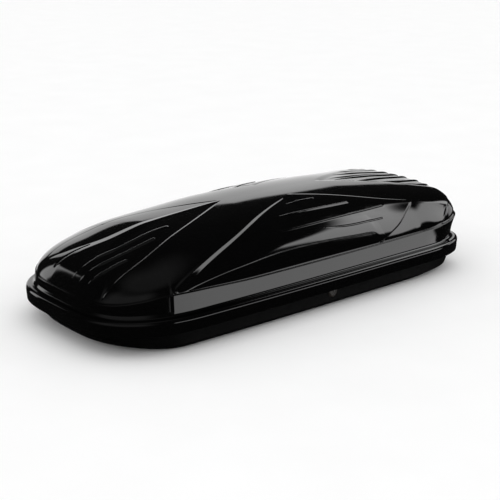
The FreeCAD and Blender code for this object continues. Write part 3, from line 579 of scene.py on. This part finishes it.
def build_webbing(name, path, centre_y, width):
    """Ribbon along an (x, z) path: lengthwise cords crossed by a herringbone of weft."""
    points, tangents, along = even_path(path, WEBBING_STEP)
    normals = np.stack([-tangents[:, 1], tangents[:, 0]], 1)
    offsets = np.linspace(-width / 2, width / 2, WEBBING_COLUMNS)
    length, across = np.meshgrid(along, offsets, indexing="ij")
    cord = np.abs(np.sin(np.pi * across / CORD_PITCH))
    odd_lane = np.floor(across / CORD_PITCH) % 2
    slant = np.where(odd_lane > 0, 1, -1)
    weft = 0.5 + 0.5 * np.sin(2 * np.pi * (length / WEFT_PITCH + 0.5 * odd_lane
                                           + 0.35 * across / CORD_PITCH * slant))
    edge = np.clip((width / 2 - np.abs(across)) / 1.3, 0, 1) ** 0.5
    relief = (0.20 * cord + 0.12 * weft) * edge
    half_thickness = WEBBING_THICKNESS / 2 * (0.35 + 0.65 * edge)
    # slight sideways wander along the strap
    drift = 0.25 * np.sin(length / 83.0) + 0.12 * np.sin(length / 31.0 + 1.3)

    def skin(sign):
        lift = sign * (half_thickness + relief - 0.16)
        return np.stack([points[:, 0][:, None] + normals[:, 0][:, None] * lift,
                         centre_y + across + drift,
                         points[:, 1][:, None] + normals[:, 1][:, None] * lift],
                        2).reshape(-1, 3)

    vertices = np.concatenate([skin(1), skin(-1)])
    rows, columns = length.shape
    other = rows * columns      # first vertex of the second skin
    i = np.arange(rows - 1)[:, None] * columns + np.arange(columns - 1)[None, :]
    first_skin = np.stack([i, i + 1, i + columns + 1, i + columns], 2).reshape(-1, 4)
    second_skin = first_skin[:, ::-1] + other
    a = np.arange(rows - 1) * columns
    b = a + columns - 1
    c = np.arange(columns - 1)
    sides = [np.stack([a, a + columns, a + columns + other, a + other], 1),
             np.stack([b + columns, b, b + other, b + columns + other], 1)]
    ends = [np.stack([c + 1, c, c + other, c + 1 + other], 1),
            np.stack([c, c + 1, c + 1 + other, c + other], 1) + (rows - 1) * columns]
    faces = np.concatenate([first_skin, second_skin, *sides, *ends]).tolist()
    return build_mesh(name, vertices, faces, merge=1e-7)


def build_stitches(name, seams, centre_y):
    """Sewn thread: each stitch is a rounded bead, its ends pulled into the cloth."""
    vertices, faces = [], []
    sides = range(STITCH_SIDES)
    for (start_x, start_y), (end_x, end_y) in seams:
        length = math.hypot(end_x - start_x, end_y - start_y)
        count = max(1, int(length / (STITCH_LENGTH + STITCH_GAP)))
        dx, dy = (end_x - start_x) / length, (end_y - start_y) / length
        for i in range(count):
            begin = i * length / count + STITCH_GAP / 2
            base = len(vertices)
            for share, swell, lift in STITCH_RINGS:
                along = begin + share * STITCH_LENGTH
                for q in sides:
                    angle = q * math.pi / 3
                    beside = math.cos(angle) * STITCH_RADIUS * swell
                    height = math.sin(angle) * STITCH_RADIUS * swell
                    vertices.append((start_x + dx * along - dy * beside,
                                     centre_y + start_y + dy * along + dx * beside,
                                     STITCH_Z + lift + height))
            last = base + (len(STITCH_RINGS) - 1) * STITCH_SIDES
            for ring in range(base, last, STITCH_SIDES):
                for q in sides:
                    after = (q + 1) % STITCH_SIDES
                    faces.append((ring + q, ring + after,
                                  ring + STITCH_SIDES + after, ring + STITCH_SIDES + q))
            faces.append(tuple(base + q for q in reversed(sides)))
            faces.append(tuple(last + q for q in sides))
    return build_mesh(name, np.array(vertices), faces, merge=1e-8)


def sewn_seams():
    """A crossed box of stitching at each end of the strap: (x, y) from and to."""
    seams = []
    h = SEWN_HALF_WIDTH
    for side in (1, -1):
        a, b = sorted(side * x for x in SEWN_X)
        seams += [((a, -h), (b, -h)), ((a, h), (b, h)), ((a, -h), (a, h)),
                  ((b, -h), (b, h)), ((a, -h), (b, h)), ((a, h), (b, -h))]
    return seams


def add_strap(place, thread):
    low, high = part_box("load_strap_" + place)
    centre_y = (low.y + high.y) / 2 / MM
    path = (STRAP_END[:0:-1] + STRAP_UNDER + STRAP_MIDDLE
            + mirror_path(STRAP_UNDER[::-1]) + mirror_path(STRAP_END[1:]))
    strap = build_webbing("strap_webbing_" + place, path, centre_y, width=25.0)
    finish_piece(strap, "base", "webbing", replaced="load_strap_" + place)
    tail = build_webbing("strap_tail_" + place, STRAP_TAIL, centre_y, width=24.6)
    finish_piece(tail, "base", "webbing")
    stitching = build_stitches("strap_stitching_" + place, sewn_seams(), centre_y)
    finish_piece(stitching, "base", "webbing", material=thread)


# --------------------------------------------------------------------------
# Materials
# --------------------------------------------------------------------------


class NodeGraph:
    """Shader node tree of a material or world, emptied down to one output node."""

    def __init__(self, owner, output_kind):
        owner.use_nodes = True
        self.tree = owner.node_tree
        self.tree.nodes.clear()
        self.output = self.node(output_kind)

    def feed(self, socket, value):
        """Link an output into a socket, or set the socket's value."""
        if isinstance(value, bpy.types.NodeSocket):
            self.tree.links.new(value, socket)
        else:
            socket.default_value = value

    def node(self, kind, inputs=None, **settings):
        node = self.tree.nodes.new(kind)
        for name, value in settings.items():
            setattr(node, name, value)
        for name, value in (inputs or {}).items():
            self.feed(node.inputs[name], value)
        return node

    def math(self, operation, *values):
        return self.node("ShaderNodeMath", dict(enumerate(values)),
                         operation=operation).outputs[0]


class Material(NodeGraph):
    """Principled material textured in object coordinates."""

    def __init__(self, name):
        self.material = bpy.data.materials.new(name)
        super().__init__(self.material, "ShaderNodeOutputMaterial")
        self.shader = self.node("ShaderNodeBsdfPrincipled")
        self.feed(self.output.inputs[0], self.shader.outputs[0])
        texture = self.node("ShaderNodeTexCoord")
        self.coords = texture.outputs["Object"]
        self.normal = texture.outputs["Normal"]

    def surface(self, inputs):
        """Set the shader's inputs and hand back the material."""
        for name, value in inputs.items():
            self.feed(self.shader.inputs[name], value)
        return self.material

    def noise(self, scale, detail=3, roughness=0.5, vector=None):
        return self.node("ShaderNodeTexNoise", {
            "Scale": scale, "Detail": detail, "Roughness": roughness,
            "Vector": self.coords if vector is None else vector}).outputs["Fac"]

    def ramp(self, factor, low, high, start=0.3, end=0.8):
        """Colour ramp from low at start to high at end; a single number is a grey."""
        node = self.node("ShaderNodeValToRGB", {0: factor})
        for element, position, colour in zip(node.color_ramp.elements, (start, end),
                                             (low, high)):
            if isinstance(colour, float):
                colour = (colour,) * 3
            element.position = position
            element.color = (*colour, 1)
        return node.outputs[0]

    def mix(self, factor, first, second):
        return self.node("ShaderNodeMixRGB", {0: factor, 1: first, 2: second}).outputs[0]

    def bump(self, height, strength, distance):
        return self.node("ShaderNodeBump", {"Strength": strength, "Distance": distance,
                                            "Height": height}).outputs[0]

    def inward(self, z):
        """1 on faces that look back at the middle of the piece, at height z."""
        outward = self.node("ShaderNodeVectorMath", {0: self.coords, 1: (0.0, 0.0, z)},
                            operation="SUBTRACT")
        facing = self.node("ShaderNodeVectorMath", {0: outward.outputs[0], 1: self.normal},
                           operation="DOT_PRODUCT")
        return self.math("LESS_THAN", facing.outputs["Value"], 0.0)


def lid_gloss():
    """Near-black gloss outside, duller and paler inside."""
    m = Material("lid_gloss_black")
    ripple = m.noise(scale=9.0, detail=2)
    dust = m.noise(scale=60.0, detail=4, roughness=0.6)
    inner = m.inward(z=0.12)
    return m.surface({
        "Base Color": m.mix(
            inner,
            m.ramp(dust, low=(0.0005, 0.0005, 0.00055), high=(0.0009, 0.0009, 0.00095)),
            m.ramp(dust, low=(0.014, 0.014, 0.0145), high=(0.019, 0.019, 0.0195))),
        "Roughness": m.mix(
            inner,
            m.ramp(m.noise(scale=14.0, detail=5, roughness=0.6), 0.045, 0.085, end=0.75),
            m.ramp(m.noise(scale=30.0, detail=4, roughness=0.6), 0.46, 0.58, end=0.75)),
        "IOR": 1.5,
        "Normal": m.bump(ripple, strength=0.05, distance=0.0006)})


def base_plastic():
    """Finely grained black, paler on faces that look inwards."""
    m = Material("base_grained_black")
    grain = m.node("ShaderNodeTexVoronoi", {"Scale": 900.0, "Vector": m.coords})
    cloud = m.noise(scale=8.0, detail=5, roughness=0.6)
    return m.surface({
        "Base Color": m.mix(
            m.inward(z=0.06),
            m.ramp(cloud, low=(0.0008, 0.0008, 0.0009), high=(0.0018, 0.0018, 0.0019)),
            m.ramp(cloud, low=(0.012, 0.012, 0.0125), high=(0.017, 0.017, 0.0175))),
        "Roughness": m.ramp(m.noise(scale=40.0), 0.42, 0.60),
        "Specular IOR Level": 0.09,
        "Normal": m.bump(grain.outputs["Distance"], strength=0.25, distance=0.0003)})


def seal_rubber():
    m = Material("seal_rubber_black")
    return m.surface({
        "Base Color": m.ramp(m.noise(scale=120.0, detail=4), 0.012, 0.024),
        "Roughness": 0.82,
        "Normal": m.bump(m.noise(scale=1500.0, detail=2), strength=0.3, distance=0.0004)})


def zinc_steel():
    m = Material("zinc_plated_steel")
    return m.surface({
        "Base Color": m.ramp(m.noise(scale=70.0, detail=5, roughness=0.65),
                             low=(0.40, 0.41, 0.42), high=(0.62, 0.62, 0.60), end=0.7),
        "Roughness": m.ramp(m.noise(scale=160.0, detail=4), 0.28, 0.46),
        "Metallic": 0.55,
        "Normal": m.bump(m.noise(scale=600.0), strength=0.08, distance=0.0003)})


def rail_aluminium():
    """Fine lines drawn out along y."""
    m = Material("extruded_aluminium")
    stretched = m.node("ShaderNodeMapping", {"Scale": (900.0, 6.0, 900.0),
                                             "Vector": m.coords}).outputs[0]
    lines = m.noise(scale=1.0, detail=6, roughness=0.7, vector=stretched)
    return m.surface({
        "Base Color": m.ramp(lines, low=(0.52, 0.53, 0.54), high=(0.68, 0.69, 0.70), end=0.7),
        "Roughness": m.ramp(lines, 0.30, 0.46, start=0.2),
        "Metallic": 0.55,
        "Normal": m.bump(lines, strength=0.10, distance=0.0003)})


def satin(name, dark, light, smoothest, roughest):
    """Plain dark finish with a slight mottle and grain."""
    m = Material(name)
    mottle = m.noise(scale=220.0, detail=4, roughness=0.6)
    return m.surface({
        "Base Color": m.ramp(mottle, dark, light, end=0.75),
        "Roughness": m.ramp(m.noise(scale=90.0), smoothest, roughest),
        "Normal": m.bump(m.noise(scale=1400.0, detail=2), strength=0.18, distance=0.0003)})


def webbing():
    """Weave made of two crossed sets of bands."""
    m = Material("black_webbing")
    bands = [m.node("ShaderNodeTexWave",
                    {"Scale": scale, "Distortion": 0.6, "Vector": m.coords},
                    wave_type="BANDS", bands_direction=axis).outputs["Fac"]
             for axis, scale in (("X", 260.0), ("Y", 200.0))]
    weave = m.math("MULTIPLY", *bands)
    return m.surface({
        "Base Color": m.ramp(weave, low=(0.010, 0.010, 0.011), high=(0.045, 0.045, 0.048),
                             start=0.1, end=0.9),
        "Roughness": 0.78,
        "Sheen Weight": 0.35,
        "Normal": m.bump(weave, strength=0.5, distance=0.0005)})


# Material of each slot; the satin numbers are dark and light colour, least and most roughness
MATERIALS = {
    "lid_gloss": lid_gloss(),
    "base_plastic": base_plastic(),
    "seal_rubber": seal_rubber(),
    "zinc_steel": zinc_steel(),
    "rail_aluminium": rail_aluminium(),
    "latch_plastic": satin("glass_filled_nylon", (0.020, 0.020, 0.021),
                           (0.035, 0.035, 0.036), 0.45, 0.6),
    "fitting_plastic": satin("moulded_fitting", 0.012, 0.022, 0.35, 0.5),
    "plate_black": satin("black_powder_coat", 0.012, 0.020, 0.4, 0.55),
    "arm_black": satin("satin_black_arm", 0.016, (0.026, 0.026, 0.027), 0.28, 0.42),
    "lock_metal": satin("lock_satin", (0.010, 0.008, 0.007), (0.022, 0.018, 0.015), 0.26, 0.40),
    "webbing": webbing(),
}


def dress_cad_pieces():
    for subpart in frame["record"]["subparts"]:
        materials = frame["nodes"][subpart["node"]].data.materials
        materials.clear()
        materials.append(MATERIALS[subpart["material_slot"]])


def finish_piece(piece, body, slot, replaced=None, material=None):
    """Give a piece its material (from its slot unless one is given) and its body, and hide the
    CAD piece it stands in for.
    """
    piece.data.materials.append(material or MATERIALS[slot])
    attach(piece, body)
    if replaced:
        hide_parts(replaced)


# --------------------------------------------------------------------------
# Camera, world and floor
# --------------------------------------------------------------------------
CAMERA_PLACE = (3.4394, -2.9051, 1.5582)
CAMERA_DIRECTION = (-0.73012845, 0.61543752, -0.29689915)
SENSOR_MM = 36.0
LENS_MM = 78.48252

WHITE = (1, 1, 1, 1)
AMBIENT = 1.08              # world level for all but glossy rays
REFLECTED_AMBIENT = 0.016   # level seen in reflections between the softboxes
DEGREES_PER_RADIAN = 57.29578
# Softboxes: azimuth from and to (degrees from +y towards +x), elevation from and to,
# level, softness of the edges in degrees
SOFTBOXES = [
    (-84, -35.5, -16, 20.8, 1.15, 1.0),
    (-118, -104.5, -6, 24, 1.75, 1.5),
    (31, 82, -16.5, -4.5, 2.15, 1.2),
    (-4, 36.5, 24.5, 44.6, 3.1, 1.5),
    (-5, 20, 0, 20, 1.6, 2.0),
    (106, 220, 5, 58, 0.2, 14.0),
    (-220, -156, 5, 58, 0.2, 14.0),
    (-220, 220, 68, 120, 0.12, 10.0),
]


def add_camera():
    data = bpy.data.cameras.new("view")
    camera = bpy.data.objects.new("view", data)
    bpy.context.scene.collection.objects.link(camera)
    bpy.context.scene.camera = camera
    camera.location = CAMERA_PLACE
    camera.rotation_euler = Vector(CAMERA_DIRECTION).to_track_quat("-Z", "Y").to_euler()
    data.sensor_width = SENSOR_MM
    data.lens = LENS_MM
    data.clip_end = 100.0


def add_world():
    """Even white light, with softboxes that show only in reflections."""
    world = bpy.data.worlds.new("studio")
    bpy.context.scene.world = world
    graph = NodeGraph(world, "ShaderNodeOutputWorld")
    ambient = graph.node("ShaderNodeBackground", {0: WHITE, 1: AMBIENT})
    reflected = graph.node("ShaderNodeBackground", {0: WHITE})
    rays = graph.node("ShaderNodeLightPath")
    mixed = graph.node("ShaderNodeMixShader", {0: rays.outputs["Is Glossy Ray"],
                                               1: ambient.outputs[0],
                                               2: reflected.outputs[0]})
    graph.feed(graph.output.inputs[0], mixed.outputs[0])
    texture = graph.node("ShaderNodeTexCoord")
    direction = graph.node("ShaderNodeSeparateXYZ", {0: texture.outputs["Generated"]})
    x, y, z = direction.outputs

    def calc(operation, a, b=0.0):
        """Maths node with its unused inputs at zero."""
        return graph.math(operation, a, b, 0.0)

    azimuth = calc("MULTIPLY", calc("ARCTAN2", x, y), DEGREES_PER_RADIAN)
    elevation = calc("MULTIPLY", calc("ARCSINE", z), DEGREES_PER_RADIAN)

    def softbox(azimuth_from, azimuth_to, elevation_from, elevation_to, level, soft):
        def after(edge, angle):
            return graph.node("ShaderNodeMapRange",
                              {"From Min": edge - soft, "From Max": edge + soft,
                               "Value": angle},
                              interpolation_type="SMOOTHSTEP").outputs[0]

        light = after(azimuth_from, azimuth)
        for mask in (calc("SUBTRACT", 1.0, after(azimuth_to, azimuth)),
                     after(elevation_from, elevation),
                     calc("SUBTRACT", 1.0, after(elevation_to, elevation))):
            light = calc("MULTIPLY", light, mask)
        return calc("MULTIPLY", light, level)

    total = softbox(*SOFTBOXES[0])
    for box in SOFTBOXES[1:]:
        total = calc("ADD", total, softbox(*box))
    graph.feed(reflected.inputs[1], calc("ADD", total, REFLECTED_AMBIENT))


def add_floor():
    """Pale floor that stays out of the reflections."""
    bpy.ops.mesh.primitive_plane_add(size=40, location=(0, 0, 0))
    floor = bpy.context.object
    floor.name = "floor"
    m = Material("pale_floor")
    floor.data.materials.append(m.surface({
        "Base Color": m.ramp(m.noise(scale=3.0, detail=2), 0.93, 0.95),
        "Roughness": 0.9}))
    floor.visible_glossy = False


# --------------------------------------------------------------------------
# Assembly
# --------------------------------------------------------------------------
dress_cad_pieces()
finish_piece(build_lid(), "lid", "lid_gloss", replaced="lid_shell")
finish_piece(build_seal(), "base", "seal_rubber", replaced="rim_seal")
sewing_thread = satin("sewing_thread", (0.05, 0.05, 0.052), (0.085, 0.085, 0.088), 0.5, 0.65)
for strap_place in ("front", "rear"):
    add_strap(strap_place, sewing_thread)
add_camera()
add_world()
bpy.context.scene.view_settings.view_transform = "Standard"
add_floor()
